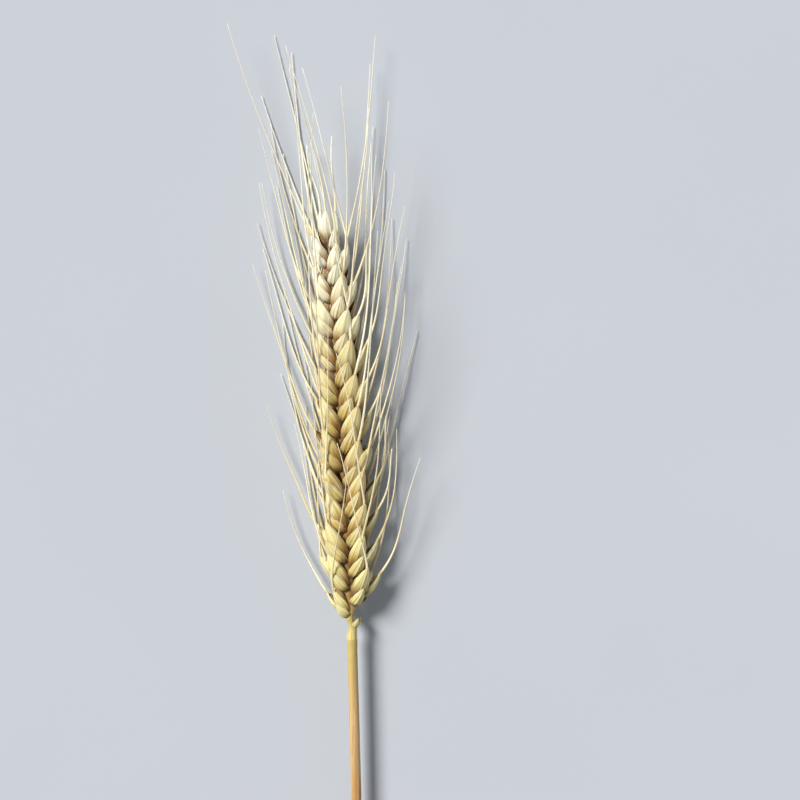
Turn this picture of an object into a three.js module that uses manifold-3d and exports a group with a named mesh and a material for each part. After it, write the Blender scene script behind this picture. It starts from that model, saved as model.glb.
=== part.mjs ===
// A dried, bearded wheat stem, cut and stripped of its leaves, lying on a flat surface.
// Millimetres, +Z up. The stem lies along Y, its ear towards +Y and its cut end towards -Y.
// The origin is on the surface, under the middle of the bounding box.
//
// straw: the hollow stalk, with one joint near its cut end.
// ear:   the rachis with its two rows of spikelets and the spikelet at its tip, grown together.
//        A spikelet has two glumes, and three florets whose husks end in awns. The lowest has none.

import * as THREE from 'three';
import { mergeVertices } from 'three/addons/utils/BufferGeometryUtils.js';
import Module from 'manifold-3d';

// Driving dimensions. Places along the stem are distances from the collar under the ear.
const STRAW_LENGTH = 250;
const LEVEL_LENGTH = 12; // of the cut end that lies flat on the surface
const CUT_RADIUS = 1.75;
const BORE_RADIUS = 1.05;
const PEDUNCLE_RADIUS = 1.35;
const COLLAR_RADIUS = 1.35;
const JOINT_RADIUS = 2.2;
const JOINT_AT = -204;

const EAR_LENGTH = 112;
const SIDE_SPIKELETS = 24;
const FIRST_SPIKELET_AT = 2.5;
const TOP_SPIKELET_LENGTH = 13;
const CROWDING = 1.12; // over 1, the spikelets stand closer at the ear's foot
const LOW_LEAN = 27; // degrees out from the ear's centre line, at its foot and at its tip
const HIGH_LEAN = 18;
const LONGEST_AWN = 54;
const AWN_RADIUS = 0.36;
const AWN_TIP_RADIUS = 0.16;
const AWN_CLEARANCE = 0.5; // of the lowest awns over the surface

const STRAW_SIDES = 14;
const RACHIS_SIDES = 7;
const AWN_SIDES = 3;
const AWN_STEPS = 3;

// The lie of the stem: the ear nods to one side, and rests on the surface with the straw's cut end.
const SIDE_SLOPE = 0.03;
const EAR_BOW = 0.00026;
const STRAW_BOW = 0.00008;
const EAR_HEIGHT = 5.2; // of its centre line
const CUT_HEIGHT = CUT_RADIUS * Math.cos(Math.PI / STRAW_SIDES);
const ROLL_AT_COLLAR = 80; // degrees about the centre line
const ROLL_PER_MM = -0.2;

const wasm = await Module();
wasm.setup();

const radians = THREE.MathUtils.degToRad;
const lerp = THREE.MathUtils.lerp;

// A repeatable draw from -1 to 1, the same for the same spikelet, piece and purpose.
function jitter(spikelet, piece, purpose) {
  const wave = Math.sin(spikelet * 12.9898 + piece * 78.233 + purpose * 37.719) * 43758.5453;
  return 2 * (wave - Math.floor(wave)) - 1;
}

// The centre line of straw and ear, y mm from the collar.
function centreLine(y) {
  const x = -SIDE_SLOPE * y - (y > 0 ? EAR_BOW : STRAW_BOW) * y * y;
  const share = THREE.MathUtils.clamp(-y / (STRAW_LENGTH - LEVEL_LENGTH), 0, 1);
  return new THREE.Vector3(x, y, lerp(EAR_HEIGHT, CUT_HEIGHT, share ** 1.4));
}

// The directions at y: along the stem, and across and out of the face with the ear's slow twist.
function directions(y) {
  const along = centreLine(y + 0.5).sub(centreLine(y - 0.5)).normalize();
  const across = new THREE.Vector3(0, 0, 1).cross(along).negate().normalize();
  const face = new THREE.Vector3().crossVectors(across, along).normalize();
  const roll = radians(ROLL_AT_COLLAR + ROLL_PER_MM * y);
  across.applyAxisAngle(along, roll);
  face.applyAxisAngle(along, roll);
  return { across, along, face };
}

// Moves every vertex of a geometry to place(vertex).
function shaped(geometry, place) {
  const position = geometry.getAttribute('position');
  const vertex = new THREE.Vector3();
  for (let i = 0; i < position.count; i++) {
    const moved = place(vertex.fromBufferAttribute(position, i));
    position.setXYZ(i, moved.x, moved.y, moved.z);
  }
  return geometry;
}

function toSolid(geometry) {
  geometry.deleteAttribute('normal');
  geometry.deleteAttribute('uv');
  const merged = mergeVertices(geometry, 1e-4);
  return new wasm.Manifold(new wasm.Mesh({
    numProp: 3,
    vertProperties: merged.getAttribute('position').array,
    triVerts: new Uint32Array(merged.index.array),
  }));
}

function toGeometry(solid) {
  const mesh = solid.getMesh();
  const geometry = new THREE.BufferGeometry();
  geometry.setAttribute('position', new THREE.BufferAttribute(mesh.vertProperties, 3));
  geometry.setIndex(new THREE.BufferAttribute(mesh.triVerts, 1));
  geometry.computeVertexNormals();
  return geometry;
}

// The straw: a turned profile, hollow from its cut end up to the joint, bent along the centre line.
function strawGeometry() {
  const cut = -STRAW_LENGTH;
  const profile = [
    [0, JOINT_AT - 3], [BORE_RADIUS * 0.8, JOINT_AT - 3.6], [BORE_RADIUS, JOINT_AT - 6],
    [BORE_RADIUS, cut],
    [CUT_RADIUS, cut], [CUT_RADIUS, cut + LEVEL_LENGTH], [CUT_RADIUS * 0.97, cut + 2 * LEVEL_LENGTH],
    [CUT_RADIUS * 0.96, JOINT_AT - 5],
    [JOINT_RADIUS * 0.94, JOINT_AT - 2], [JOINT_RADIUS, JOINT_AT], [JOINT_RADIUS * 0.92, JOINT_AT + 1.4],
    [PEDUNCLE_RADIUS * 1.12, JOINT_AT + 2.2], [PEDUNCLE_RADIUS * 1.12, JOINT_AT + 12],
  ];
  const peduncleSteps = 12;
  for (let i = 1; i <= peduncleSteps; i++) {
    const share = i / peduncleSteps;
    const radius = PEDUNCLE_RADIUS * lerp(1.12, 0.94, share);
    profile.push([radius, lerp(JOINT_AT + 12, -7, share)]);
  }
  profile.push([COLLAR_RADIUS * 1.06, -1.8], [COLLAR_RADIUS, 0], [0, 0]);
  const points = profile.map(([radius, y]) => new THREE.Vector2(radius, y));
  const turned = new THREE.LatheGeometry(points, STRAW_SIDES, Math.PI / STRAW_SIDES);
  return shaped(turned, (v) => centreLine(v.y).add(new THREE.Vector3(v.x, 0, v.z)));
}

// Where a spikelet stands on the rachis.
function spikeletAt(i) {
  const last = EAR_LENGTH - TOP_SPIKELET_LENGTH;
  return lerp(FIRST_SPIKELET_AT, last, (i / SIDE_SPIKELETS) ** CROWDING);
}

// The rachis: a flat axis from the collar to the top spikelet, with a slight turn at each spikelet.
function rachis() {
  const length = EAR_LENGTH - TOP_SPIKELET_LENGTH + 1;
  const steps = SIDE_SPIKELETS + 2;
  const bar = new THREE.CylinderGeometry(1, 1, 1, RACHIS_SIDES, steps);
  return toSolid(shaped(bar, (v) => {
    const step = Math.round((v.y + 0.5) * steps);
    const foot = step === 0;
    const i = step - 1;
    const y = foot ? 0 : step === steps ? length : spikeletAt(i);
    const { across, face } = directions(y);
    const halfWidth = lerp(COLLAR_RADIUS, 0.95, y / length);
    const halfDepth = foot ? COLLAR_RADIUS : lerp(1.05, 0.75, y / length);
    const zigzag = foot ? 0 : 0.3 * (i % 2 ? -1 : 1);
    const point = centreLine(y)
      .addScaledVector(across, v.x * halfWidth)
      .addScaledVector(face, v.z * halfDepth + zigzag);
    if (foot) point.y = 0;
    return point;
  }));
}

// The outline of a glume or husk, from 0 at its base, through 1, to 0 at its tip.
function outline(share, belly, fullness) {
  return Math.sin(Math.PI * share ** belly) ** fullness;
}

// A boat-shaped scale with a keel along its back, standing on its base and pointing along +Y,
// with its back to +Z.
function scaleGeometry({ length, halfWidth, back, front, belly, fullness, bow, sides, rings }) {
  const ball = new THREE.SphereGeometry(1, sides, rings).rotateY(Math.PI / 2);
  return shaped(ball, (v) => {
    const share = Math.acos(THREE.MathUtils.clamp(-v.y, -1, 1)) / Math.PI;
    const round = Math.hypot(v.x, v.z);
    const size = round > 1e-6 ? outline(share, belly, fullness) / round : 0;
    const depth = v.z > 0 ? back : front;
    return new THREE.Vector3(
      v.x * size * halfWidth,
      length * share,
      v.z * size * depth + bow * Math.sin(Math.PI * share),
    );
  });
}

// What a spikelet holds, for a full-sized one: where each piece stands (across, along, out),
// how far it splays and tips, which way its back is turned, and its own form.
const GLUME = {
  at: [0.95, 0, 0], splay: 15, tip: 9, turn: 64,
  form: { length: 8.3, halfWidth: 1.95, back: 1.1, front: 0.5, belly: 0.8, fullness: 0.62, bow: 0.6,
    sides: 4, rings: 3 },
};
const FIRST_FLORET = {
  at: [0.6, 0.9, -0.4], splay: 12, tip: 2, turn: 60, awn: 1,
  form: { length: 11.8, halfWidth: 2.4, back: 1.7, front: 1.4, belly: 0.76, fullness: 0.78, bow: 0.5,
    sides: 5, rings: 5 },
};
const SECOND_FLORET = { ...FIRST_FLORET, at: [0.6, 2.3, -0.3] };
const THIRD_FLORET = {
  at: [0.15, 1.2, 0.2], splay: 5, tip: 13, turn: 26, awn: 0.82,
  form: { length: 12.6, halfWidth: 2.0, back: 1.6, front: 1.4, belly: 0.95, fullness: 0.85, bow: 0.3,
    sides: 4, rings: 4 },
};

// How large the spikelets are, from the small ones over the collar to those near the tip.
function spikeletSize(i) {
  const growth = 1 - 0.58 * Math.exp(-i / 1.9);
  const taper = 1 - 0.2 * (i / SIDE_SPIKELETS) ** 3;
  return growth * taper * (1 + 0.04 * jitter(i, 0, 1));
}

function piecesOf(i) {
  const pieces = [{ ...GLUME, hand: 1 }, { ...GLUME, hand: -1 }];
  if (i === 0) return pieces;
  pieces.push({ ...FIRST_FLORET, hand: 1 }, { ...SECOND_FLORET, hand: -1 });
  pieces.push({ ...THIRD_FLORET, hand: jitter(i, 0, 2) > 0 ? 1 : -1 });
  return pieces;
}

// The frame that a spikelet stands in: X across its face, Y along it, Z out of the ear.
function spikeletFrame(i) {
  const top = i === SIDE_SPIKELETS;
  const y = spikeletAt(i);
  const { across, along, face } = directions(y);
  const out = (top ? across : face).clone().multiplyScalar(top || i % 2 ? -1 : 1);
  const lean = top ? 0 : radians(lerp(LOW_LEAN, HIGH_LEAN, i / SIDE_SPIKELETS) + 3 * jitter(i, 0, 3));
  const stand = along.clone().multiplyScalar(Math.cos(lean)).addScaledVector(out, Math.sin(lean));
  const wide = new THREE.Vector3().crossVectors(stand, out).normalize();
  const normal = new THREE.Vector3().crossVectors(wide, stand).normalize();
  const origin = centreLine(y).addScaledVector(out, top ? 0 : 0.3);
  const size = spikeletSize(i);
  const yaw = radians(4 * jitter(i, 0, 4));
  return new THREE.Matrix4().makeBasis(wide, stand, normal)
    .multiply(new THREE.Matrix4().makeRotationZ(yaw))
    .scale(new THREE.Vector3(size, size, size))
    .setPosition(origin);
}

// The frame that one glume or floret stands in, within its spikelet.
function pieceFrame(i, n, piece) {
  const [across, along, out] = piece.at;
  const splay = piece.splay + 2.5 * jitter(i, n, 5);
  const tip = piece.tip + 2.5 * jitter(i, n, 6);
  const turn = piece.turn + 8 * jitter(i, n, 7);
  const angles = new THREE.Euler(radians(tip), radians(turn * piece.hand), radians(-splay * piece.hand), 'ZXY');
  return new THREE.Matrix4().makeRotationFromEuler(angles).setPosition(across * piece.hand, along, out);
}

// Awns grow longer up the ear, and a few are broken off short.
function awnLength(i, n, piece) {
  const rise = THREE.MathUtils.smoothstep(i / SIDE_SPIKELETS, -0.1, 0.55);
  const broken = jitter(i, n, 8) > 0.84 ? 0.45 : 1;
  const top = i === SIDE_SPIKELETS ? 0.8 : 1;
  return LONGEST_AWN * piece.awn * lerp(0.62, 1, rise) * (1 + 0.1 * jitter(i, n, 9)) * broken * top;
}

// How an awn leans once it has bent, in shares of its husk's own lean, and how much that varies.
const FREE_AWN = { bendsAt: 0.25, across: 0.38, acrossPlay: 0.15, out: 0.28, outPlay: 0.12 };
// Some of those on the upper side stray back over the ear.
const STRAY_AWN = { bendsAt: 0.1, across: 1.3, acrossPlay: 0.06, out: -0.4, outPlay: 0.14 };

// An awn's curve: on from the husk's tip, then bending towards the ear's own direction.
function awnCurve(i, n, piece, frame) {
  const base = new THREE.Vector3(0, piece.form.length * 0.86, 0).applyMatrix4(frame);
  const leave = new THREE.Vector3(0, 1, 0).transformDirection(frame);
  const { across, along, face } = directions(base.y);
  const sideways = leave.dot(across);
  const outwards = leave.dot(face);
  const lean = sideways < -0.1 && jitter(i, n, 12) > -0.2 ? STRAY_AWN : FREE_AWN;
  const settle = along.clone()
    .addScaledVector(across, lean.across * sideways + lean.acrossPlay * jitter(i, n, 10))
    .addScaledVector(face, lean.out * outwards + lean.outPlay * jitter(i, n, 11))
    .normalize();
  const length = awnLength(i, n, piece);
  const bend = base.clone().addScaledVector(leave, length * lean.bendsAt);
  const end = bend.clone().addScaledVector(settle, length * (1 - lean.bendsAt));
  return new THREE.QuadraticBezierCurve3(base, bend, end);
}

// Keeps an awn over the surface that the stem lies on.
function aboveSurface(point) {
  const over = point.z - AWN_CLEARANCE;
  point.z = AWN_CLEARANCE + (over + Math.hypot(over, 0.6)) / 2;
  return point;
}

function awn(i, n, piece, frame) {
  const curve = awnCurve(i, n, piece, frame);
  const rod = new THREE.CylinderGeometry(1, 1, 1, AWN_SIDES, AWN_STEPS);
  return toSolid(shaped(rod, (v) => {
    const share = v.y + 0.5;
    const centre = curve.getPoint(share);
    if (share > 0) aboveSurface(centre);
    const tangent = curve.getTangent(share);
    const side = new THREE.Vector3(0, 0, 1).cross(tangent).normalize();
    const up = new THREE.Vector3().crossVectors(tangent, side);
    const radius = lerp(AWN_RADIUS, AWN_TIP_RADIUS, share);
    return centre.addScaledVector(side, v.x * radius).addScaledVector(up, -v.z * radius);
  }));
}

function spikelet(i) {
  const stand = spikeletFrame(i);
  return piecesOf(i).flatMap((piece, n) => {
    const frame = stand.clone().multiply(pieceFrame(i, n, piece));
    const husk = toSolid(scaleGeometry(piece.form).applyMatrix4(frame));
    return piece.awn ? [husk, awn(i, n, piece, frame)] : [husk];
  });
}

// All that grows on the ear, joined, with what would sink into the surface cut flat.
// A tiny hollow that husks shut between them is filled.
function ear() {
  const parts = [rachis()];
  for (let i = 0; i <= SIDE_SPIKELETS; i++) parts.push(...spikelet(i));
  const below = new THREE.BoxGeometry(200, 400, 20).translate(0, 100, -10);
  const grown = wasm.Manifold.union(parts).subtract(toSolid(below)).simplify(0.08);
  return wasm.Manifold.union(grown.decompose().filter((body) => body.volume() > 0));
}

const straw = new THREE.Mesh(
  strawGeometry(),
  new THREE.MeshStandardMaterial({ color: 0xd9cda0, roughness: 0.45, metalness: 0 }),
);
straw.name = 'straw';

const wheatEar = new THREE.Mesh(
  toGeometry(ear()),
  new THREE.MeshStandardMaterial({ color: 0xe0cf9d, roughness: 0.6, metalness: 0 }),
);
wheatEar.name = 'ear';

const stem = new THREE.Group();
stem.add(straw, wheatEar);
const box = new THREE.Box3().setFromObject(stem);
const middle = box.getCenter(new THREE.Vector3());
stem.position.set(-middle.x, -middle.y, 0);

export default stem;
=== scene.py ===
"""A dried, bearded wheat stem lying on a pale surface, dressed in detail round its CAD frame.

Shapes are worked out in millimetres from the same rules as the CAD part: places along the stem are
distances from the collar under the ear, and the ear lies towards +Y. Each mesh is then moved into the
row frame and turned into metres.
"""

import math
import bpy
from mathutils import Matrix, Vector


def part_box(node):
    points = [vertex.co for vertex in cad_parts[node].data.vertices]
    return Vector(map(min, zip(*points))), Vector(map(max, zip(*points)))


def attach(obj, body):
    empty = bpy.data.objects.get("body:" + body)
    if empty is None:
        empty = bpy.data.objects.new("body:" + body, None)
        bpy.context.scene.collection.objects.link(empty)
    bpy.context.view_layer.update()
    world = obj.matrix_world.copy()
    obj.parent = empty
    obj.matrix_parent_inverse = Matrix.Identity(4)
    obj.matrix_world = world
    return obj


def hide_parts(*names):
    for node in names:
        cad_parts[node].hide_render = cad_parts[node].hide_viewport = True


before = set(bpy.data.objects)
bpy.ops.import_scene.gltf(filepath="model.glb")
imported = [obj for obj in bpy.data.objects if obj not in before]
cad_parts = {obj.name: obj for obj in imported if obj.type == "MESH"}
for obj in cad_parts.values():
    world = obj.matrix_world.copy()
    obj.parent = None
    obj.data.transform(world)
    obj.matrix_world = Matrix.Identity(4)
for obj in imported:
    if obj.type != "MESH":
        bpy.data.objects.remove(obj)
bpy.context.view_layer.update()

from types import SimpleNamespace

import bpy
import numpy as np
from mathutils import Vector

MM = 0.001
THIRD_TURN = 2 * math.pi / 3

# The straw, as in the CAD part.
STRAW_LENGTH = 250
LEVEL_LENGTH = 12  # of the cut end that lies flat on the surface
CUT_RADIUS = 1.75
BORE_RADIUS = 1.05
PEDUNCLE_RADIUS = 1.35
COLLAR_RADIUS = 1.35
JOINT_RADIUS = 2.2
JOINT_AT = -204
STRAW_SIDES = 14

# The ear, as in the CAD part.
EAR_LENGTH = 112
SIDE_SPIKELETS = 24
FIRST_SPIKELET_AT = 2.5
TOP_SPIKELET_LENGTH = 13
TOP_SPIKELET_AT = EAR_LENGTH - TOP_SPIKELET_LENGTH
CROWDING = 1.12  # over 1, the spikelets stand closer at the ear's foot
LOW_LEAN = 27  # degrees out from the ear's centre line, at its foot and at its tip
HIGH_LEAN = 18

# The awns, as in the CAD part. Shorter ones are shares of the longest.
LONGEST_AWN = 54
LOWEST_AWN = 0.62
TOP_AWN = 0.8
BROKEN_AWN = 0.45
BROKEN_OVER = 0.84  # an awn is broken off if its draw is over this
AWN_RADIUS = 0.36
AWN_ROOT = 0.86  # of the way up its husk
AWN_CLEARANCE = 0.5  # of the lowest awns over the surface

# How an awn leans once it has bent, in shares of its husk's own lean, and how much that varies.
# Some of those on the upper side stray back over the ear.
FREE_AWN = dict(bends_at=0.25, across=0.38, across_play=0.15, out=0.28, out_play=0.12)
STRAY_AWN = dict(bends_at=0.1, across=1.3, across_play=0.06, out=-0.4, out_play=0.14)
STRAY_SIDE = -0.1  # an awn may stray if its husk leans across by less than this
STRAY_OVER = -0.2  # and it does if its draw is over this

# The lie of the stem, as in the CAD part.
SIDE_SLOPE = 0.03
EAR_BOW = 0.00026
STRAW_BOW = 0.00008
EAR_HEIGHT = 5.2  # of its centre line
CUT_HEIGHT = CUT_RADIUS * math.cos(math.pi / STRAW_SIDES)
ROLL_AT_COLLAR = 80  # degrees about the centre line
ROLL_PER_MM = -0.2

# What a spikelet holds: the place, the lean and the form of each piece. They are the CAD part's, but
# the glumes are slimmer towards their tips and more bowed here.
GLUME = dict(
    at=(0.95, 0, 0), splay=15, tip=9, turn=64, awn=0,
    length=8.3, half_width=1.95, back=1.1, front=0.5, belly=0.7, fullness=0.8, bow=0.82,
)
FIRST_FLORET = dict(
    at=(0.6, 0.9, -0.4), splay=12, tip=2, turn=60, awn=1,
    length=11.8, half_width=2.4, back=1.7, front=1.4, belly=0.76, fullness=0.78, bow=0.5,
)
SECOND_FLORET = dict(FIRST_FLORET, at=(0.6, 2.3, -0.3))
THIRD_FLORET = dict(
    at=(0.15, 1.2, 0.2), splay=5, tip=13, turn=26, awn=0.82,
    length=12.6, half_width=2.0, back=1.6, front=1.4, belly=0.95, fullness=0.85, bow=0.3,
)

# The photograph's view of the stem, in its own pixels and as a real size.
PHOTO_SIZE = 800
PHOTO_PIXELS_PER_MM = 3.9
COLLAR_IN_PHOTO = (352, 638)


class Draw:
    """What each draw is for. The first twelve are the CAD part's too."""

    SIZE, THIRD_SIDE, LEAN, TWIST, SPLAY, TIP, TURN, BROKEN, REACH, ACROSS, OUT, STRAY = range(1, 13)
    WAVE, TONE, PALEA_TONE, SWAY_RATE, SWAY_START, AWN_TWIST, AWN_TONE, WRAP, LOPSIDED = range(21, 30)
    FIRST_BARB = 30  # and one more for each barb up the awn
    WIDTH, BACK, FULLNESS, LENGTH, FLARE = range(31, 36)
    HAIR_SIDE, HAIR_FOOT, HAIR_WAY, HAIR_LENGTH, HAIR_TONE = range(40, 45)


def jitter(spikelet, piece, purpose):
    """A repeatable draw from -1 to 1, the same as in the CAD part."""
    wave = math.sin(spikelet * 12.9898 + piece * 78.233 + purpose * 37.719) * 43758.5453
    return 2 * (wave - math.floor(wave)) - 1


def tone_of(spikelet, piece, purpose):
    """A repeatable draw from 0 to 1, for a material's colours."""
    return jitter(spikelet, piece, purpose) * 0.5 + 0.5


def smoothstep(value, low, high):
    share = np.clip((value - low) / (high - low), 0, 1)
    return share * share * (3 - 2 * share)


def lerp(low, high, share):
    return low + (high - low) * share


def unit(vector):
    return vector / np.maximum(np.linalg.norm(vector, axis=-1, keepdims=True), 1e-9)


def turned(axis, degrees):
    """The 3 by 3 rotation about an axis."""
    x, y, z = unit(np.asarray(axis, float))
    angle = math.radians(degrees)
    cross = np.array([[0, -z, y], [z, 0, -x], [-y, x, 0]])
    return np.eye(3) + math.sin(angle) * cross + (1 - math.cos(angle)) * cross @ cross


def circle(sides):
    """The angles of evenly spaced points on a circle."""
    return np.linspace(0, 2 * np.pi, sides, endpoint=False)


def above_surface(points, clearance, softness):
    """Lifts what would sink below the clearance over the surface, smoothly."""
    over = points[..., 2] - clearance
    points[..., 2] = clearance + (over + np.hypot(over, softness)) / 2
    return points


# The plan of the stem and its ear.


def centre_line(y):
    """The centre of straw and ear, y mm from the collar."""
    share = np.clip(-y / (STRAW_LENGTH - LEVEL_LENGTH), 0, 1)
    bow = EAR_BOW if y > 0 else STRAW_BOW
    return np.array([-SIDE_SLOPE * y - bow * y * y, y, lerp(EAR_HEIGHT, CUT_HEIGHT, share ** 1.4)])


def directions(y):
    """Across, along and out of the face at y, with the ear's slow twist."""
    along = unit(centre_line(y + 0.5) - centre_line(y - 0.5))
    across = unit(np.cross(along, (0, 0, 1)))
    face = unit(np.cross(across, along))
    roll = turned(along, ROLL_AT_COLLAR + ROLL_PER_MM * y)
    return roll @ across, along, roll @ face


def spikelet_at(i):
    """Where a spikelet stands on the rachis: closer together at the ear's foot."""
    return lerp(FIRST_SPIKELET_AT, TOP_SPIKELET_AT, (i / SIDE_SPIKELETS) ** CROWDING)


def spikelet_count_at(y):
    """How many spikelets stand below y: the way back from spikelet_at."""
    share = max(0.0, (y - FIRST_SPIKELET_AT) / (TOP_SPIKELET_AT - FIRST_SPIKELET_AT))
    return SIDE_SPIKELETS * share ** (1 / CROWDING)


def spikelet_size(i):
    """Spikelets are small at the ear's foot and a little smaller again towards its tip."""
    growth = 1 - 0.58 * math.exp(-i / 1.9)
    taper = 1 - 0.2 * (i / SIDE_SPIKELETS) ** 3
    return growth * taper * (1 + 0.04 * jitter(i, 0, Draw.SIZE))


def pieces_of(i):
    """The glumes and florets of a spikelet. The lowest one has its glumes only."""
    pieces = [dict(GLUME, hand=1), dict(GLUME, hand=-1)]
    if i == 0:
        return pieces
    third = dict(THIRD_FLORET, hand=1 if jitter(i, 0, Draw.THIRD_SIDE) > 0 else -1)
    return pieces + [dict(FIRST_FLORET, hand=1), dict(SECOND_FLORET, hand=-1), third]


def spikelet_frame(i):
    """The rotation, scaled, and the origin of a spikelet: X across its face, Y along it, Z out."""
    top = i == SIDE_SPIKELETS
    y = spikelet_at(i)
    across, along, face = directions(y)
    out = (across if top else face) * (-1 if top or i % 2 else 1)
    degrees = lerp(LOW_LEAN, HIGH_LEAN, i / SIDE_SPIKELETS) + 3 * jitter(i, 0, Draw.LEAN)
    lean = 0 if top else math.radians(degrees)
    stand = along * math.cos(lean) + out * math.sin(lean)
    wide = unit(np.cross(stand, out))
    normal = unit(np.cross(wide, stand))
    basis = np.column_stack([wide, stand, normal]) @ turned((0, 0, 1), 4 * jitter(i, 0, Draw.TWIST))
    return basis * spikelet_size(i), centre_line(y) + out * (0 if top else 0.3)


def piece_frame(i, n, piece):
    """The rotation, scaled, and the origin of one glume or floret."""
    basis, origin = spikelet_frame(i)
    across, along, out = piece["at"]
    splay = piece["splay"] + 2.5 * jitter(i, n, Draw.SPLAY)
    tip = piece["tip"] + 2.5 * jitter(i, n, Draw.TIP)
    turn = piece["turn"] + 8 * jitter(i, n, Draw.TURN)
    turning = (
        turned((0, 0, 1), -splay * piece["hand"])
        @ turned((1, 0, 0), tip)
        @ turned((0, 1, 0), turn * piece["hand"])
    )
    return basis @ turning, origin + basis @ np.array([across * piece["hand"], along, out])


def all_pieces():
    """Every glume and floret of the ear: its spikelet, its number there, itself and its frame."""
    for i in range(SIDE_SPIKELETS + 1):
        for n, piece in enumerate(pieces_of(i)):
            basis, origin = piece_frame(i, n, piece)
            yield i, n, piece, basis, origin


def all_glumes():
    return (found for found in all_pieces() if not found[2]["awn"])


def all_florets():
    return (found for found in all_pieces() if found[2]["awn"])


def is_broken(i, n):
    return jitter(i, n, Draw.BROKEN) > BROKEN_OVER


def awn_length(i, n, piece):
    rise = smoothstep(i / SIDE_SPIKELETS, -0.1, 0.55)
    length = LONGEST_AWN * piece["awn"] * lerp(LOWEST_AWN, 1, rise) * (1 + 0.1 * jitter(i, n, Draw.REACH))
    broken = BROKEN_AWN if is_broken(i, n) else 1
    top = TOP_AWN if i == SIDE_SPIKELETS else 1
    return length * broken * top


def awn_controls(i, n, piece, basis, origin):
    """The three points of an awn's curve."""
    base = origin + basis @ np.array([0, piece["length"] * AWN_ROOT, 0])
    leave = unit(basis[:, 1])
    across, along, face = directions(base[1])
    sideways = leave @ across
    strays = sideways < STRAY_SIDE and jitter(i, n, Draw.STRAY) > STRAY_OVER
    lean = STRAY_AWN if strays else FREE_AWN
    settle = unit(
        along
        + across * (lean["across"] * sideways + lean["across_play"] * jitter(i, n, Draw.ACROSS))
        + face * (lean["out"] * leave @ face + lean["out_play"] * jitter(i, n, Draw.OUT))
    )
    length = awn_length(i, n, piece)
    bend = base + leave * length * lean["bends_at"]
    return base, bend, bend + settle * length * (1 - lean["bends_at"])


# Meshes.


def stem_to_row():
    """The step from the stem's own origin to the row's, read off the frame's straw."""
    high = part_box("straw")[1]
    joint_side = centre_line(JOINT_AT)[0] + JOINT_RADIUS
    return np.array([high[0] / MM - joint_side, high[1] / MM, 0])


STEM_TO_ROW = stem_to_row()


class Batch:
    """Many small shapes gathered into one mesh, with named numbers on their points."""

    def __init__(self):
        self.points = []
        self.faces = []
        self.marks = {}
        self.count = 0

    def add(self, points, faces, **marks):
        points = np.asarray(points, float).reshape(-1, 3)
        self.points.append(points)
        self.faces += [tuple(corner + self.count for corner in face) for face in faces]
        for name, value in marks.items():
            filled = np.broadcast_to(np.asarray(value, float), (len(points),))
            self.marks.setdefault(name, []).append(filled)
        self.count += len(points)

    def build(self, name, material, node):
        """Makes the finished piece, in metres in the row frame."""
        mesh = bpy.data.meshes.new(name)
        points = (np.concatenate(self.points) + STEM_TO_ROW) * MM
        mesh.from_pydata(points.tolist(), [], self.faces)
        for mark, values in self.marks.items():
            attribute = mesh.attributes.new(mark, "FLOAT", "POINT")
            attribute.data.foreach_set("value", np.concatenate(values))
        mesh.polygons.foreach_set("use_smooth", np.ones(len(mesh.polygons), bool))
        mesh.materials.append(material)
        piece = bpy.data.objects.new(name, mesh)
        bpy.context.collection.objects.link(piece)
        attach(piece, "root")
        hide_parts(node)


def sheet_faces(rows, columns, first=0, flip=False):
    """Quads over a grid of points."""
    faces = []
    for r in range(rows - 1):
        for c in range(columns - 1):
            a = first + r * columns + c
            quad = (a, a + 1, a + columns + 1, a + columns)
            faces.append(quad[::-1] if flip else quad)
    return faces


def tube_faces(rings, sides):
    """Quads round a stack of rings, with both ends closed."""
    faces = []
    for r in range(rings - 1):
        for c in range(sides):
            d = (c + 1) % sides
            faces.append((r * sides + c, r * sides + d, (r + 1) * sides + d, (r + 1) * sides + c))
    last = (rings - 1) * sides
    faces.append(tuple(range(sides))[::-1])
    faces.append(tuple(range(last, last + sides)))
    return faces


def shell_faces(rows, columns):
    """A surface, its back, and the four edges between them."""
    back = rows * columns
    faces = sheet_faces(rows, columns) + sheet_faces(rows, columns, back, flip=True)
    last = (rows - 1) * columns
    for r in range(rows - 1):
        a, b = r * columns, (r + 1) * columns
        faces.append((a, b, b + back, a + back))
        a, b = a + columns - 1, b + columns - 1
        faces.append((b, a, a + back, b + back))
    for c in range(columns - 1):
        faces.append((c + 1, c, c + back, c + 1 + back))
        a = last + c
        faces.append((a, a + 1, a + 1 + back, a + back))
    return faces


def with_back(outer, thickness):
    """A (rows, columns, 3) surface followed by its back, thickness below it."""
    down = np.gradient(outer, axis=0)
    over = np.gradient(outer, axis=1)
    normal = unit(np.cross(over, down))
    inner = outer - normal * thickness[..., None]
    return np.concatenate([outer.reshape(-1, 3), inner.reshape(-1, 3)])


# Glumes, and the husks of the florets: a lemma outside and a palea inside.

SCALE_ROWS = 20
SCALE_COLUMNS = 33
SCALE_FROM = 0.012  # of its outline, where its first and last rows lie
SCALE_TO = 0.985
BEAK_REACH = 0.085  # of its length, past its outline
CLOSED_WRAP = 165  # degrees to either side, where an unbeaked scale closes on its awn
RIDGE_THICKNESS = 0.2
RIM_THICKNESS = 0.07
NERVE_WAVES = 19
HUSK_CLEARANCE = 0.02
HUSK_SOFTNESS = 0.12

# The first number of each form is how far up the scale, in shares of its length, its foot gets painted
# shade.
GLUME_FORM = dict(painted_shade_reach=0.34, wrap=100, squareness=1.18, keel=0.2, beak=0.12)
LEMMA_FORM = dict(painted_shade_reach=0.6, wrap=126, squareness=1.04, keel=0.07, beak=0.0, flare=0.0)


def outline(share, belly, fullness):
    """The form of a glume or husk, from 0 at its base, through 1, to 0 at its tip."""
    return np.sin(np.pi * np.clip(share, 0, 1) ** belly) ** fullness


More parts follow.
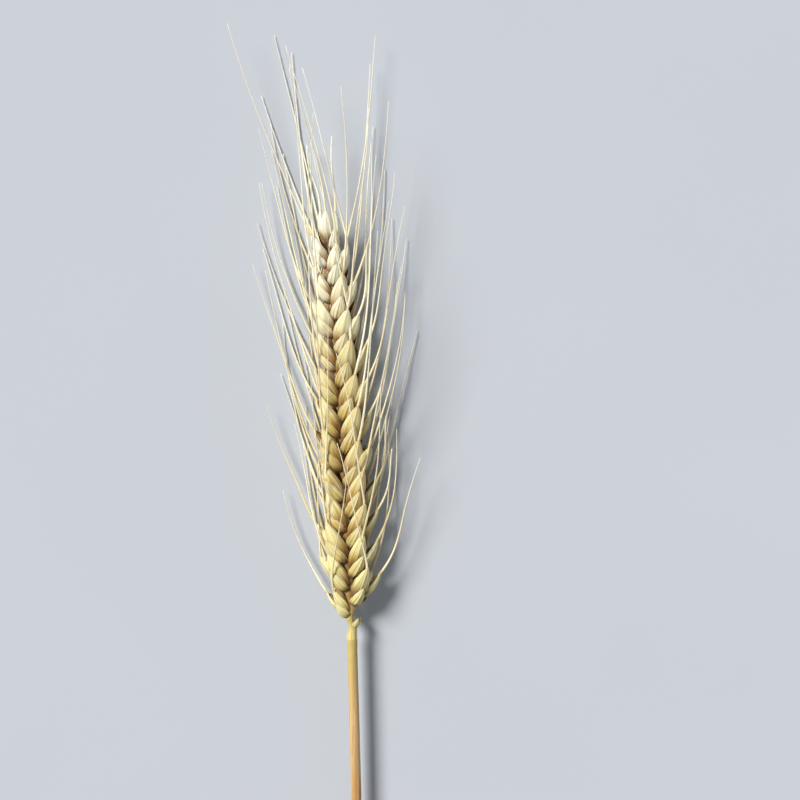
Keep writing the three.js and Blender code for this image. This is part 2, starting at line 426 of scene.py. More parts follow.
def scale_surface(piece, wrap, squareness, keel, beak, lopsided, wave, flare):
    """The outside of a boat-shaped scale, with the share of its length and of its width at each point.

    It wraps round its grain by so many degrees to either side. The keel is the ridge down its back,
    the beak the share of its rows in its narrow tip, lopsided how much wider one side is, the wave
    how much its edges ripple, and the flare how far its tip turns out.
    """
    steps = np.linspace(0, 1, SCALE_ROWS)
    body = np.clip(steps / (1 - beak), 0, 1)
    share = lerp(SCALE_FROM, SCALE_TO, body ** 1.1)
    beyond = np.clip((steps - (1 - beak)) / max(beak, 1e-6), 0, 1)
    across = np.linspace(-1, 1, SCALE_COLUMNS)
    share, across = np.meshgrid(share, across, indexing="ij")
    beyond = beyond[:, None]
    reach = share + BEAK_REACH * beyond
    narrow = 1 - 0.8 * beyond
    size = outline(share, piece["belly"], piece["fullness"])

    closing = smoothstep(share, 0.8, 0.98)
    angle = across * np.radians(lerp(wrap, CLOSED_WRAP, closing * (beak == 0)))
    sine = np.sign(np.sin(angle)) * np.abs(np.sin(angle)) ** squareness
    cosine = np.sign(np.cos(angle)) * np.abs(np.cos(angle)) ** squareness
    width = piece["half_width"] * (1 + lopsided * np.sign(across) * np.abs(across))
    depth = np.where(cosine > 0, piece["back"], piece["front"])

    ridge = 1 + keel * np.exp(-((across / 0.09) ** 2)) - 0.5 * keel
    edge = np.abs(across) ** 6
    ripple = wave * edge * np.sin(share * 23 + across * 2 + wave * 90)
    nerves = np.cos(NERVE_WAVES * across) * smoothstep(share, 0, 0.25) * smoothstep(share, 1, 0.75)
    ruffle = 1 + ripple + 0.05 * edge + 0.014 * nerves

    x = sine * size * width * ruffle * narrow
    y = piece["length"] * reach
    z = cosine * size * depth * ridge * ruffle * narrow
    z = z + piece["bow"] * np.sin(np.pi * share) + flare * y * share**2
    return np.stack([x, y, z], axis=-1), reach, across


def add_scale(batch, i, n, piece, basis, origin, painted_shade_reach, **form):
    """One scale, as a thin closed shell on the ear, with painted brown shade at its foot as far up as its
    neighbours cover it.
    """
    form["wave"] = 0.03 + 0.02 * jitter(i, n, Draw.WAVE)
    form["wrap"] *= 1 + 0.07 * jitter(i, n, Draw.WRAP)
    form["lopsided"] += 0.05 * jitter(i, n, Draw.LOPSIDED)
    surface, share, across = scale_surface(piece, **form)
    thickness = lerp(RIDGE_THICKNESS, RIM_THICKNESS, np.abs(across) ** 2)
    thickness = thickness * np.minimum(1, 4 * outline(share, 1, 1) + 0.1)
    points = with_back(surface, thickness) @ basis.T + origin
    batch.add(
        above_surface(points, HUSK_CLEARANCE, HUSK_SOFTNESS),
        shell_faces(*share.shape),
        along=np.tile(share.ravel(), 2),
        across=np.tile(across.ravel(), 2),
        # foot and inside carry painted shade: foot is 1 low on the scale and fades out where its
        # neighbours stop covering it, inside is 1 on its back.
        foot=np.tile(smoothstep(share, painted_shade_reach, painted_shade_reach * 0.3).ravel(), 2),
        inside=np.repeat([0.0, 1.0], share.size),
        draw=tone_of(i, n, Draw.TONE),
        rise=i / SIDE_SPIKELETS,
    )


def varied(i, n, piece):
    """A scale as it grew: a little wider or narrower, flatter or fuller than its kind."""
    grown = dict(piece)
    grown["half_width"] *= 1 + 0.08 * jitter(i, n, Draw.WIDTH)
    grown["back"] *= 1 + 0.12 * jitter(i, n, Draw.BACK)
    grown["fullness"] *= 1 + 0.07 * jitter(i, n, Draw.FULLNESS)
    return grown


def glumes(material):
    """The two outer scales of each spikelet: keeled and beaked, and each of its own length."""
    batch = Batch()
    for i, n, piece, basis, origin in all_glumes():
        grown = varied(i, n, piece)
        grown["length"] *= 1 + 0.1 * jitter(i, n, Draw.LENGTH)
        flare = 0.07 + 0.06 * jitter(i, n, Draw.FLARE)
        lopsided = -0.1 * piece["hand"]
        add_scale(batch, i, n, grown, basis, origin, lopsided=lopsided, flare=flare, **GLUME_FORM)
    batch.build("glumes", material, "ear")


def lemmas(material):
    """The outer scale of each floret, closed at its tip round the foot of its awn."""
    batch = Batch()
    for i, n, piece, basis, origin in all_florets():
        lopsided = 0.03 * piece["hand"]
        add_scale(batch, i, n, varied(i, n, piece), basis, origin, lopsided=lopsided, **LEMMA_FORM)
    batch.build("lemmas", material, "ear")


PALEA_SIDES = 18
PALEA_RINGS = 16
PALEA_WIDTH = 0.86  # of its lemma's width, back and front
PALEA_BACK = 0.8
PALEA_FRONT = 0.93
GROOVE_DEPTH = 0.14


def paleas(material):
    """The inner scale of each floret, closed round its grain, with a groove between two keels."""
    share, angle = np.meshgrid(np.linspace(0.06, 0.9, PALEA_RINGS), circle(PALEA_SIDES), indexing="ij")
    behind = np.cos(angle)
    groove = 1 - GROOVE_DEPTH * np.exp(-(((angle - np.pi) / 0.35) ** 2))
    batch = Batch()
    for i, n, piece, basis, origin in all_florets():
        piece = varied(i, n, piece)
        size = outline((share - 0.03) / 0.9, piece["belly"], 0.8)
        depth = np.where(behind > 0, PALEA_BACK * piece["back"], PALEA_FRONT * piece["front"])
        x = np.sin(angle) * size * piece["half_width"] * PALEA_WIDTH
        z = behind * size * depth * groove
        z = z + piece["bow"] * np.sin(np.pi * share)
        points = np.stack([x, piece["length"] * share, z], axis=-1).reshape(-1, 3) @ basis.T + origin
        batch.add(
            above_surface(points, HUSK_CLEARANCE, HUSK_SOFTNESS),
            tube_faces(PALEA_RINGS, PALEA_SIDES),
            along=share.ravel(),
            across=0.5 + 0.3 * np.sin(angle).ravel(),
            # The paleas sit inside their lemmas: most of their surface gets painted shade.
            foot=0.75,
            inside=0.2,
            draw=tone_of(i, n, Draw.PALEA_TONE),
            rise=i / SIDE_SPIKELETS,
        )
    batch.build("paleas", material, "ear")


# Awns with their barbs. A whole awn tapers to a finer tip than the CAD part's.

AWN_RINGS = 46
AWN_SIDES = 6
AWN_TIP_RADIUS = 0.07
BROKEN_TIP_RADIUS = 0.2
AWN_SWAY = 0.75  # of its tip to either side of its curve
BARB_SPACING = 0.9
BARB_LENGTH = 0.34
BARB_RADIUS = 0.06
BARB_LEAN = 0.35
BARBS_END = 0.97  # of the way up the awn
BARB_ROOT = 0.85  # of the awn's radius there
AWN_SOFTNESS = 0.6
SPIKE_CLEARANCE = 0.03
SPIKE_SOFTNESS = 0.06


def awn_line(i, n, piece, basis, origin):
    """Points down the middle of an awn, their directions, and their shares of the way up."""
    base, bend, end = awn_controls(i, n, piece, basis, origin)
    share = np.linspace(0, 1, AWN_RINGS)[:, None]
    line = base * (1 - share) ** 2 + bend * 2 * share * (1 - share) + end * share ** 2
    phase = share * (5 + 2 * jitter(i, n, Draw.SWAY_RATE)) + 3 * jitter(i, n, Draw.SWAY_START)
    across, _, face = directions(base[1])
    line = line + AWN_SWAY * share * (across * np.sin(phase) + face * np.sin(phase + 1.3))
    line = np.where(share > 0, above_surface(line.copy(), AWN_CLEARANCE, AWN_SOFTNESS), line)
    return line, unit(np.gradient(line, axis=0)), share[:, 0]


def awns(material):
    batch = Batch()
    angles = circle(AWN_SIDES)
    section = 1 + 0.16 * np.cos(3 * angles)
    for i, n, piece, basis, origin in all_florets():
        line, tangent, share = awn_line(i, n, piece, basis, origin)
        side = unit(np.cross((0, 0, 1), tangent))
        up = np.cross(tangent, side)
        tip_radius = BROKEN_TIP_RADIUS if is_broken(i, n) else AWN_TIP_RADIUS
        radius = lerp(AWN_RADIUS, tip_radius, share ** 0.9)
        reach = radius[:, None] * section
        turn = angles[None, :] + (2.5 * share * jitter(i, n, Draw.AWN_TWIST))[:, None]
        ring = (
            line[:, None]
            + (reach * np.cos(turn))[..., None] * side[:, None]
            + (reach * np.sin(turn))[..., None] * up[:, None]
        )
        marks = dict(draw=tone_of(i, n, Draw.AWN_TONE), rise=i / SIDE_SPIKELETS)
        along = np.repeat(share, AWN_SIDES)
        batch.add(ring, tube_faces(AWN_RINGS, AWN_SIDES), along=along, **marks)
        add_barbs(batch, i, n, line, tangent, side, up, radius, marks)
    batch.build("awns", material, "ear")


def add_spike(batch, root, direction, length, radius, **marks):
    """A thin three-sided hair or barb."""
    side = unit(np.cross(direction, (0.31, 0.17, 0.93)))
    up = np.cross(direction, side)
    angles = [k * THIRD_TURN for k in range(3)]
    foot = [root + radius * (math.cos(angle) * side + math.sin(angle) * up) for angle in angles]
    faces = [(0, 1, 3), (1, 2, 3), (2, 0, 3), (2, 1, 0)]
    points = np.array(foot + [root + direction * length])
    batch.add(above_surface(points, SPIKE_CLEARANCE, SPIKE_SOFTNESS), faces, **marks)


def add_barbs(batch, i, n, line, tangent, side, up, radius, marks):
    """Barbs that point up the awn, on its edges."""
    steps = np.concatenate([[0], np.cumsum(np.linalg.norm(np.diff(line, axis=0), axis=1))])
    shares = np.linspace(0, 1, len(radius))
    for k in range(int(steps[-1] * BARBS_END / BARB_SPACING)):
        place = (k + 0.5) * BARB_SPACING
        share = place / steps[-1]
        at = min(np.searchsorted(steps, place), len(line) - 1)
        angle = THIRD_TURN * (k % 3) + 0.3 * jitter(i, n, Draw.FIRST_BARB + k)
        out = math.cos(angle) * side[at] + math.sin(angle) * up[at]
        middle = np.array([np.interp(place, steps, line[:, axis]) for axis in range(3)])
        root = middle + out * np.interp(share, shares, radius) * BARB_ROOT
        direction = unit(tangent[at] + BARB_LEAN * out)
        add_spike(batch, root, direction, BARB_LENGTH, BARB_RADIUS, along=share, **marks)


# The rachis and its hairs.

RACHIS_LENGTH = TOP_SPIKELET_AT + 1
RACHIS_RINGS = 200
RACHIS_SIDES = 22
RACHIS_RIBS = 8
RACHIS_TOP_HALF_WIDTH = 0.95
RACHIS_FOOT_HALF_DEPTH = 1.05
RACHIS_TOP_HALF_DEPTH = 0.75
ZIGZAG = 0.3
HAIRS_PER_SPIKELET = 26
HAIR_LENGTH = 0.9
HAIR_RADIUS = 0.04


def rachis_section(y):
    """The rachis's half width, half depth and zigzag at y. It flares up to each spikelet."""
    share = y / RACHIS_LENGTH
    flat = smoothstep(y, 0, 4)
    count = spikelet_count_at(y)
    flare = (0.1 + 0.12 * (count % 1) ** 3) * smoothstep(y, 1, 5)
    zigzag = ZIGZAG * math.cos(math.pi * count) * smoothstep(y, 0.3, 2.5)
    slim = 1 - 0.08 * smoothstep(y, 0, 2)
    half_width = lerp(COLLAR_RADIUS, RACHIS_TOP_HALF_WIDTH, share) * (slim + flare)
    flat_depth = lerp(RACHIS_FOOT_HALF_DEPTH, RACHIS_TOP_HALF_DEPTH, share) * (0.85 + flare)
    return half_width, lerp(COLLAR_RADIUS, flat_depth, flat), zigzag


def rachis(material):
    """The ribbed axis of the ear, from inside the collar to the top spikelet."""
    batch = Batch()
    angles = circle(RACHIS_SIDES)
    rib = 1 + 0.025 * np.cos(RACHIS_RIBS * angles)
    rings = []
    for y in np.linspace(-1, RACHIS_LENGTH, RACHIS_RINGS):
        across, _, face = directions(y)
        half_width, half_depth, zigzag = rachis_section(y)
        ring = centre_line(y) + face * zigzag
        ring = ring - np.outer(half_width * rib * np.cos(angles), across)
        ring = ring + np.outer(half_depth * rib * np.sin(angles), face)
        rings.append(ring)
    rise = np.repeat(np.linspace(0, 1, RACHIS_RINGS), RACHIS_SIDES)
    batch.add(
        np.concatenate(rings),
        tube_faces(RACHIS_RINGS, RACHIS_SIDES),
        along=0.5,
        across=0.5 * np.tile(np.sin(angles), RACHIS_RINGS),
        # Painted shade over nearly all the rachis, which lies in the groove between the rows of
        # spikelets; only its lowest part is spared.
        foot=0.8 * smoothstep(rise, 0, 0.12),
        inside=0.0,
        draw=0.2,
        rise=rise,
    )
    batch.build("rachis", material, "ear")


def hairs(material):
    """Short pale hairs on the rachis's edges and round the foot of each spikelet."""
    batch = Batch()
    for i in range(SIDE_SPIKELETS + 1):
        y = spikelet_at(i)
        across, along, face = directions(y)
        out = face * (-1 if i % 2 else 1)
        for k in range(HAIRS_PER_SPIKELET):
            spread = jitter(i, k, Draw.HAIR_SIDE)
            below = abs(jitter(i, k, Draw.HAIR_FOOT))
            half_width, half_depth, _ = rachis_section(y - 0.8 * below)
            root = centre_line(y - 1.4 * below)
            root = root + across * half_width * spread * 0.95
            root = root + out * half_depth * math.sqrt(max(0.0, 1 - spread * spread)) * 0.9
            sideways = 0.9 * spread + 0.3 * jitter(i, k, Draw.HAIR_WAY)
            way = unit(along + out * 0.5 + across * sideways)
            length = HAIR_LENGTH + 0.5 * jitter(i, k, Draw.HAIR_LENGTH)
            tone = tone_of(i, k, Draw.HAIR_TONE)
            add_spike(batch, root, way, length, HAIR_RADIUS, along=0.9, draw=tone, rise=1.0)
    batch.build("hairs", material, "ear")


# The straw.

STRAW_RIBS = 26
STRAW_COLUMNS = STRAW_RIBS * 4
GROOVE_AT = JOINT_AT - 0.8
SCAR_AT = JOINT_AT + 1.8


def straw_radius(y):
    """The straw's outer radius, y mm from the collar, over its joint and up to its collar."""
    profile = [
        (-STRAW_LENGTH, CUT_RADIUS),
        (-STRAW_LENGTH + LEVEL_LENGTH, CUT_RADIUS),
        (JOINT_AT - 6, CUT_RADIUS * 0.96),
        (JOINT_AT - 4.2, CUT_RADIUS * 0.98),
        (JOINT_AT - 2.6, JOINT_RADIUS * 0.9),
        (JOINT_AT - 1.3, JOINT_RADIUS * 0.97),
        (GROOVE_AT, JOINT_RADIUS * 0.92),
        (JOINT_AT - 0.35, JOINT_RADIUS * 0.985),
        (JOINT_AT + 0.4, JOINT_RADIUS),
        (JOINT_AT + 1.0, JOINT_RADIUS * 0.95),
        (JOINT_AT + 1.6, JOINT_RADIUS * 0.88),
        (JOINT_AT + 2.0, PEDUNCLE_RADIUS * 1.15),
        (JOINT_AT + 12, PEDUNCLE_RADIUS * 1.11),
        (-7, PEDUNCLE_RADIUS * 0.94),
        (-3, COLLAR_RADIUS * 0.95),
        (-1.3, COLLAR_RADIUS * 1.02),
        (-0.6, COLLAR_RADIUS * 1.03),
        (0.1, COLLAR_RADIUS * 0.93),
    ]
    places, radii = zip(*profile)
    return np.interp(y, places, radii)


def straw_places():
    """Ring places from the cut end up: closer together round the joint and the collar."""
    plain = np.linspace(-STRAW_LENGTH, 0, 240)
    joint = np.linspace(JOINT_AT - 7, JOINT_AT + 4, 110)
    collar = np.linspace(-6, 0.1, 36)
    return np.unique(np.round(np.concatenate([plain, joint, collar]), 3))


def straw_ring(y, radius, angles, cut=0):
    """One ring of the straw. At the cut the fibres end unevenly."""
    ring = np.tile(centre_line(y), (len(angles), 1))
    ring[:, 0] -= radius * np.cos(angles)
    ring[:, 2] += radius * np.sin(angles)
    fibres = 0.05 * np.sin(5 * angles + 1) + 0.04 * np.sin(13 * angles + 2) + 0.03 * np.sin(29 * angles)
    ring[:, 1] += cut * (0.36 + 0.24 * np.sin(angles + 0.6) + fibres)
    return above_surface(ring, 0.0, 0.03)


def bore_rings(places, angles):
    """Down the hollow, from its closed end under the joint to the cut end."""
    wall = 1 + 0.02 * np.cos(9 * angles)
    for y in places[places < JOINT_AT - 4][::-6]:
        closing = math.sqrt(max(0.02, 1 - smoothstep(y, JOINT_AT - 9, JOINT_AT - 4)))
        yield y, straw_ring(y, BORE_RADIUS * closing * wall, angles)


def rim_rings(angles):
    """Across the cut, from the hollow to the outside."""
    ribs = 1 + 0.006 * np.cos(STRAW_RIBS * angles)
    for depth in (0.0, 0.35, 0.7, 1.0):
        radius = lerp(BORE_RADIUS, straw_radius(-STRAW_LENGTH), depth)
        yield -STRAW_LENGTH, straw_ring(-STRAW_LENGTH, radius * ribs, angles, cut=1)


def outer_rings(places, angles):
    """Up the outside, ribbed, with a wrinkled joint."""
    smooth = np.convolve(np.pad(straw_radius(places), 2, "edge"), np.ones(5) / 5, "valid")
    for y, radius in zip(places[1:], smooth[1:]):
        at_joint = math.exp(-(((y - JOINT_AT) / 2.6) ** 2))
        depth = (0.011 - 0.009 * at_joint) * smoothstep(y, 0, -5)
        rib = 1 + depth * np.cos(STRAW_RIBS * angles + 0.004 * y)
        wrinkle = np.sin(9 * angles + 1.3 * y) + np.sin(14 * angles - 0.9 * y + 2)
        yield y, straw_ring(y, radius * rib * (1 + 0.008 * at_joint * wrinkle), angles)


def straw(material):
    """The hollow up to the joint, the cut rim and the ribbed outside, as one closed solid."""
    angles = circle(STRAW_COLUMNS)
    places = straw_places()
    bore = list(bore_rings(places, angles))
    rim = list(rim_rings(angles))
    along, rings = zip(*bore, *rim, *outer_rings(places, angles))
    inside = np.arange(len(rings)) < len(bore) + len(rim) - 1
    batch = Batch()
    batch.add(
        np.concatenate(rings),
        tube_faces(len(rings), STRAW_COLUMNS),
        along=np.repeat(along, STRAW_COLUMNS),
        around=np.tile(angles / (2 * np.pi), len(rings)),
        inside=np.repeat(inside, STRAW_COLUMNS),
    )
    batch.build("straw_skin", material, "straw")


# Materials.

# The sockets of a Mix node that carry colours.
MIX_FIRST_COLOUR = 6
MIX_SECOND_COLOUR = 7
MIX_COLOUR_OUT = 2


def linear(tone):
    """A colour from 0 to 255 as it looks, as the linear values that a shader takes."""
    values = [c / 255 for c in tone]
    return tuple(((v + 0.055) / 1.055) ** 2.4 if v > 0.04 else v / 12.92 for v in values) + (1.0,)


def palette(**tones):
    return SimpleNamespace(**{name: linear(tone) for name, tone in tones.items()})


HUSK = palette(
    dull=(200, 172, 88),
    bright=(240, 228, 162),
    golden=(214, 164, 84),
    greenish=(202, 204, 130),
    cloud=(194, 164, 72),
    low_on_ear=(240, 229, 150),
    middle_of_ear=(184, 150, 68),
    upper_half=(248, 243, 206),
    # Painted shade, laid on covered scale feet, on the paleas and on the rachis.
    foot=(122, 70, 10),
    bleached=(253, 251, 234),
    tip=(184, 144, 76),
    nerve=(158, 128, 54),
    stain=(172, 134, 50),
    pale_streak=(253, 249, 222),
    fleck=(132, 94, 44),
    edge=(252, 248, 222),
    # Painted shade on the backs of the scales, inside each husk.
    inside=(138, 86, 18),
)
AWN = palette(
    dull=(228, 207, 150),
    bright=(252, 245, 216),
    band=(216, 190, 128),
    high_on_ear=(253, 249, 232),
    tip=(253, 250, 234),
    foot=(216, 182, 104),
    speck=(186, 154, 96),
)
STRAW = palette(
    tan=(210, 170, 112),
    brown=(176, 130, 72),
    cloud=(208, 178, 130),
    dark_streak=(144, 96, 46),
    pale_streak=(244, 218, 168),
    fleck=(126, 84, 44),
    under_ear=(202, 184, 112),
    joint=(146, 94, 46),
    groove=(92, 56, 28),
    scar=(98, 62, 32),
    stub=(212, 184, 122),
    inside=(232, 212, 168),
)
FLOOR = palette(
    dim=(188, 195, 206),
    pale=(194, 200, 210),
)
SKY = palette(
    light=(236, 241, 247),
)


class Paint:
    """A node material, built with short calls."""

    def __init__(self, name):
        self.material = bpy.data.materials.new(name)
        self.material.use_nodes = True
        self.tree = self.material.node_tree
        self.shader = self.tree.nodes["Principled BSDF"]

    def node(self, kind, *inputs, **settings):
        node = self.tree.nodes.new("ShaderNode" + kind)
        for name, value in settings.items():
            setattr(node, name, value)
        for socket, value in zip(node.inputs, inputs):
            self.feed(socket, value)
        return node

    def feed(self, socket, value):
        """Links a socket to another, or sets its own value. None leaves it alone."""
        if value is None:
            return
        if isinstance(value, bpy.types.NodeSocket):
            self.tree.links.new(value, socket)
        else:
            socket.default_value = value

    def mark(self, name):
        """One of the named numbers on the mesh's points."""
        return self.node("Attribute", attribute_name=name).outputs["Fac"]

    def place(self):
        return self.node("TexCoord").outputs["Object"]

    def squeezed(self, place, lengthwise):
        """The place with its Y scaled, which draws a pattern out along the stem."""
        return self.node("Mapping", place, None, None, (1.0, lengthwise, 1.0)).outputs[0]

    def math(self, operation, first, second=0.0):
        return self.node("Math", first, second, operation=operation).outputs[0]

    def times(self, first, second):
        return self.math("MULTIPLY", first, second)

    def distance(self, value, other):
        return self.math("ABSOLUTE", self.math("SUBTRACT", value, other))

    def vector(self, x, y, z):
        return self.node("CombineXYZ", x, y, z).outputs[0]

    def noise(self, place, scale, detail):
        node = self.node("TexNoise")
        self.feed(node.inputs["Vector"], place)
        self.feed(node.inputs["Scale"], scale)
        self.feed(node.inputs["Detail"], detail)
        return node.outputs["Fac"]

    def within(self, value, start, full):
        """0 at start, 1 at full and past it, smooth between. Full may be the lower one."""
        return self.node("MapRange", value, start, full, interpolation_type="SMOOTHSTEP").outputs[0]

    def mix(self, share, first, second):
        node = self.node("Mix", data_type="RGBA")
        self.feed(node.inputs["Factor"], share)
        self.feed(node.inputs[MIX_FIRST_COLOUR], first)
        self.feed(node.inputs[MIX_SECOND_COLOUR], second)
        return node.outputs[MIX_COLOUR_OUT]

    def layers(self, colour, *over):
        """A colour with others laid over it in turn: each has its mask, its strength and itself."""
        for mask, strength, layer in over:
            colour = self.mix(self.times(mask, strength), colour, layer)
        return colour

    def bump(self, height, distance, strength):
        node = self.node("Bump")
        self.feed(node.inputs["Height"], height)
        self.feed(node.inputs["Distance"], distance)
        self.feed(node.inputs["Strength"], strength)
        self.feed(self.shader.inputs["Normal"], node.outputs[0])

    def roughness(self, pattern, low, high):
        """Roughness from low to high as a noise pattern goes over its middle range."""
        return self.node("MapRange", pattern, 0.3, 0.7, low, high).outputs[0]

    def finish(self, colour, roughness, **constants):
        self.feed(self.shader.inputs["Base Color"], colour)
        self.feed(self.shader.inputs["Roughness"], roughness)
        for name, value in constants.items():
            self.shader.inputs[name.replace("_", " ")].default_value = value
        return self.material


def husk_material():
    """Dried husk: cream and straw with painted brown shade on the covered feet and the insides, fine
    nerves, papery edges and weathered flecks.
    """
    paint = Paint("husk")
    # foot and inside mark where painted shade lies.
    along, across, inside = paint.mark("along"), paint.mark("across"), paint.mark("inside")
    draw, rise, foot = paint.mark("draw"), paint.mark("rise"), paint.mark("foot")
    own_pattern = paint.times(draw, 57.0)
    tone = paint.math("FRACT", paint.times(draw, 7.31))
    clouds = paint.noise(paint.vector(paint.times(across, 2.4), along, own_pattern), 1.5, 2.0)
    streaks = paint.noise(paint.vector(paint.times(across, 16.0), along, own_pattern), 1.5, 3.0)
    flecks = paint.noise(paint.place(), 2100.0, 3.0)
    wave = paint.math("COSINE", paint.times(across, float(NERVE_WAVES)))
    nerves = paint.math("POWER", paint.within(wave, -0.2, 1.0), 2.0)
    middle = paint.times(paint.within(rise, 0.14, 0.34), paint.within(rise, 0.7, 0.5))
    # Whiter towards the ear's top, except where painted shade lies.
    bleached = paint.times(paint.within(rise, 0.58, 1.04), paint.within(foot, 1.2, 0.0))
    stained = paint.times(paint.within(streaks, 0.5, 0.68), paint.within(rise, 1.3, 0.4))
    edge = paint.within(paint.math("ABSOLUTE", across), 0.8, 0.98)

    colour = paint.layers(
        paint.mix(draw, HUSK.dull, HUSK.bright),
        (paint.within(tone, 0.72, 0.9), 0.5, HUSK.golden),
        (paint.within(tone, 0.3, 0.12), 0.4, HUSK.greenish),
        (paint.within(clouds, 0.38, 0.7), 0.65, HUSK.cloud),
        (paint.within(rise, 0.38, 0.1), 0.6, HUSK.low_on_ear),
        (middle, 0.4, HUSK.middle_of_ear),
        (paint.within(along, 0.35, 0.75), 0.4, HUSK.upper_half),
        # Painted shade at the scales' covered feet, on the paleas and on the rachis.
        (foot, 0.94, HUSK.foot),
        (bleached, 0.85, HUSK.bleached),
        (paint.within(along, 0.88, 1.04), 0.6, HUSK.tip),
        (nerves, 0.28, HUSK.nerve),
        (stained, 0.5, HUSK.stain),
        (paint.within(streaks, 0.46, 0.3), 0.45, HUSK.pale_streak),
        (paint.within(flecks, 0.64, 0.76), 0.4, HUSK.fleck),
        (edge, 0.65, HUSK.edge),
        # Painted shade on the insides of the husks.
        (inside, 0.9, HUSK.inside),
    )
    relief = paint.math("ADD", paint.times(nerves, 0.9), paint.times(streaks, 1.1))
    paint.bump(relief, 0.00007, 0.7)
    return paint.finish(
        colour, paint.roughness(streaks, 0.38, 0.6), Specular_IOR_Level=0.3,
        Subsurface_Weight=0.2, Subsurface_Scale=0.0008, Subsurface_Radius=(1.0, 0.6, 0.24),
        Sheen_Weight=0.05, Sheen_Roughness=0.5,
    )


def awn_material():
    """Awns and hairs: pale and glassy, each its own tone, more golden at the foot."""
    paint = Paint("awn")
    along, draw, rise = paint.mark("along"), paint.mark("draw"), paint.mark("rise")
    place = paint.place()
    grain = paint.noise(place, 900.0, 2.0)
    bands = paint.noise(place, 90.0, 2.0)
    colour = paint.layers(
        paint.mix(draw, AWN.dull, AWN.bright),
        (paint.within(bands, 0.45, 0.65), 0.45, AWN.band),
        (paint.within(rise, 0.1, 0.8), 0.5, AWN.high_on_ear),
        (paint.within(along, 0.2, 0.9), 0.4, AWN.tip),
        (paint.within(along, 0.16, 0.0), 0.8, AWN.foot),
        (paint.within(grain, 0.55, 0.72), 0.28, AWN.speck),
    )
    paint.bump(grain, 0.00004, 0.6)
    return paint.finish(
        colour, paint.roughness(grain, 0.3, 0.5), Specular_IOR_Level=0.5,
        Subsurface_Weight=0.15, Subsurface_Scale=0.0005, Subsurface_Radius=(1.0, 0.65, 0.3),
    )


def straw_material():
    """Straw: satin, pinkish tan, streaked along its length, browner at the joint and the cut."""
    paint = Paint("straw")
    along, around, inside = paint.mark("along"), paint.mark("around"), paint.mark("inside")
    place = paint.place()
    drawn_out = paint.squeezed(place, 0.03)
    streaks = paint.noise(drawn_out, 2600.0, 3.0)
    bands = paint.noise(drawn_out, 900.0, 2.0)
    clouds = paint.noise(place, 45.0, 2.0)
    flecks = paint.noise(paint.squeezed(place, 0.25), 1700.0, 2.0)
    from_joint = paint.distance(along, JOINT_AT)
    from_groove = paint.distance(along, GROOVE_AT)
    from_scar = paint.distance(along, SCAR_AT)

    colour = paint.layers(
        paint.mix(paint.within(bands, 0.35, 0.68), STRAW.tan, STRAW.brown),
        (paint.within(clouds, 0.4, 0.7), 0.5, STRAW.cloud),
        (paint.within(streaks, 0.55, 0.72), 0.55, STRAW.dark_streak),
        (paint.within(streaks, 0.42, 0.28), 0.4, STRAW.pale_streak),
        (paint.within(flecks, 0.66, 0.74), 0.4, STRAW.fleck),
        (paint.within(along, -22.0, -1.0), 0.75, STRAW.under_ear),
        (paint.within(from_joint, 4.5, 1.2), 0.8, STRAW.joint),
        (paint.within(from_groove, 0.5, 0.1), 0.7, STRAW.groove),
        (paint.within(from_scar, 0.7, 0.2), 0.75, STRAW.scar),
        (paint.within(along, JOINT_AT - 3.0, JOINT_AT - 12.0), 0.4, STRAW.stub),
        (inside, 0.8, STRAW.inside),
    )
    fibres = paint.math("SINE", paint.times(around, 4 * math.pi * STRAW_RIBS))
    relief = paint.math("ADD", paint.math("ADD", streaks, flecks), paint.times(fibres, 0.2))
    paint.bump(relief, 0.00006, 0.7)
    return paint.finish(
        colour, paint.roughness(streaks, 0.32, 0.52), Specular_IOR_Level=0.42,
        Subsurface_Weight=0.08, Subsurface_Scale=0.0008, Subsurface_Radius=(1.0, 0.6, 0.3),
        Coat_Weight=0.06, Coat_Roughness=0.35,
    )


def floor_material():
    """A pale, cool, matt surface."""
    paint = Paint("floor")
    clouds = paint.noise(paint.place(), 9.0, 3.0)
    return paint.finish(paint.mix(clouds, FLOOR.dim, FLOOR.pale), 0.95, Specular_IOR_Level=0.05)


# The floor, the light and the camera.

FLOOR_WIDTH = 40  # in metres
LENS_LENGTH = 85
SENSOR_WIDTH = 36

# A light's place says only where its light comes from, and its width is in degrees of the sky.
KEY_LIGHT = dict(place=(-1.3, 0.95, 1.45), width=22, strength=4.35, colour=(1.0, 0.965, 0.9))
FILL_LIGHT = dict(place=(1.2, -0.4, 1.2), width=60, strength=0.32, colour=(1.0, 0.97, 0.94))

# The sky dims from the low height to the high one, each the Z of a direction one unit long.
LOW_HEIGHT = 0.05
HIGH_HEIGHT = 0.3
LOW_STRENGTH = 0.74
HIGH_STRENGTH = 0.19


def add_floor():
    bpy.ops.mesh.primitive_plane_add(size=FLOOR_WIDTH)
    floor = bpy.context.object
    floor.name = "floor"
    floor.data.materials.append(floor_material())


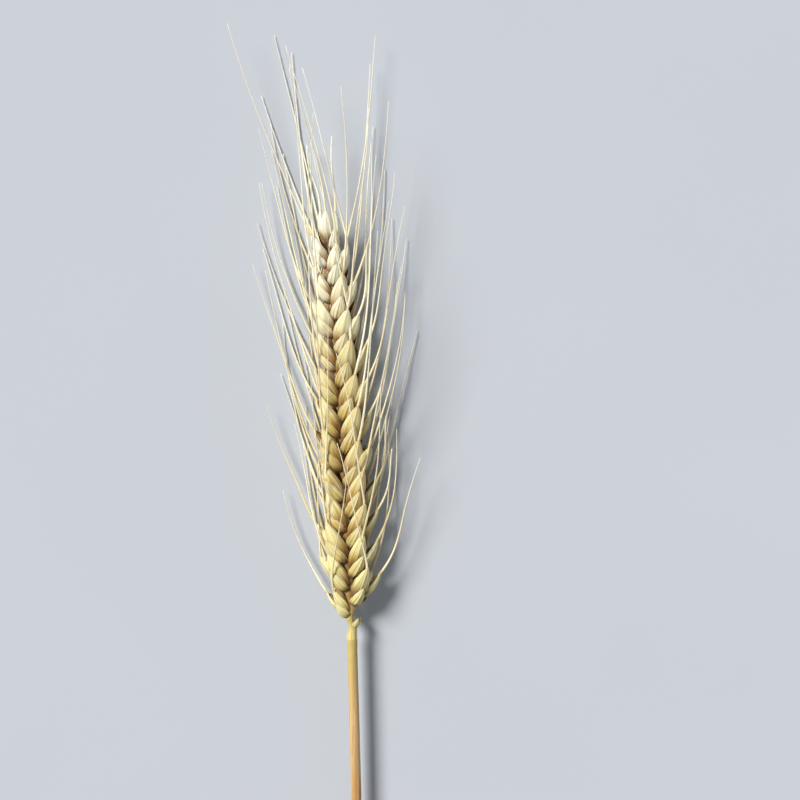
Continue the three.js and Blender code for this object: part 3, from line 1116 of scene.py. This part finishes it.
def add_light(name, place, width, strength, colour):
    """A soft light far off in the direction of place."""
    lamp = bpy.data.lights.new(name, "SUN")
    lamp.angle = math.radians(width)
    lamp.energy = strength
    lamp.color = colour
    light = bpy.data.objects.new(name, lamp)
    light.location = place
    light.rotation_euler = (-Vector(place)).to_track_quat("-Z", "Y").to_euler()
    bpy.context.collection.objects.link(light)


def add_world():
    """Even studio light: pale round the horizon, dimmer overhead."""
    world = bpy.data.worlds.new("studio")
    bpy.context.scene.world = world
    world.use_nodes = True
    tree = world.node_tree
    background = tree.nodes["Background"]
    background.inputs["Color"].default_value = SKY.light
    direction = tree.nodes.new("ShaderNodeTexCoord").outputs["Generated"]
    height = tree.nodes.new("ShaderNodeSeparateXYZ")
    strength = tree.nodes.new("ShaderNodeMapRange")
    strength.inputs["From Min"].default_value = LOW_HEIGHT
    strength.inputs["From Max"].default_value = HIGH_HEIGHT
    strength.inputs["To Min"].default_value = LOW_STRENGTH
    strength.inputs["To Max"].default_value = HIGH_STRENGTH
    tree.links.new(direction, height.inputs[0])
    tree.links.new(height.outputs["Z"], strength.inputs["Value"])
    tree.links.new(strength.outputs[0], background.inputs["Strength"])


def add_camera():
    """Straight down on the stem, framed as the photograph frames it, with the ear's tip up."""
    lens = bpy.data.cameras.new("camera")
    lens.lens = LENS_LENGTH
    lens.sensor_width = SENSOR_WIDTH
    view_width = PHOTO_SIZE / PHOTO_PIXELS_PER_MM
    distance = view_width * LENS_LENGTH / SENSOR_WIDTH
    camera = bpy.data.objects.new("camera", lens)
    collar = centre_line(0.0) + STEM_TO_ROW
    x = collar[0] + (PHOTO_SIZE / 2 - COLLAR_IN_PHOTO[0]) / PHOTO_PIXELS_PER_MM
    y = collar[1] + (COLLAR_IN_PHOTO[1] - PHOTO_SIZE / 2) / PHOTO_PIXELS_PER_MM
    camera.location = (x * MM, y * MM, (EAR_HEIGHT + distance) * MM)
    bpy.context.collection.objects.link(camera)
    bpy.context.scene.camera = camera


bpy.context.scene.view_settings.view_transform = "Standard"

husk_look = husk_material()
awn_look = awn_material()

straw(straw_material())
rachis(husk_look)
glumes(husk_look)
lemmas(husk_look)
paleas(husk_look)
awns(awn_look)
hairs(awn_look)
add_floor()
add_world()
add_light("key", **KEY_LIGHT)
add_light("fill", **FILL_LIGHT)
add_camera()
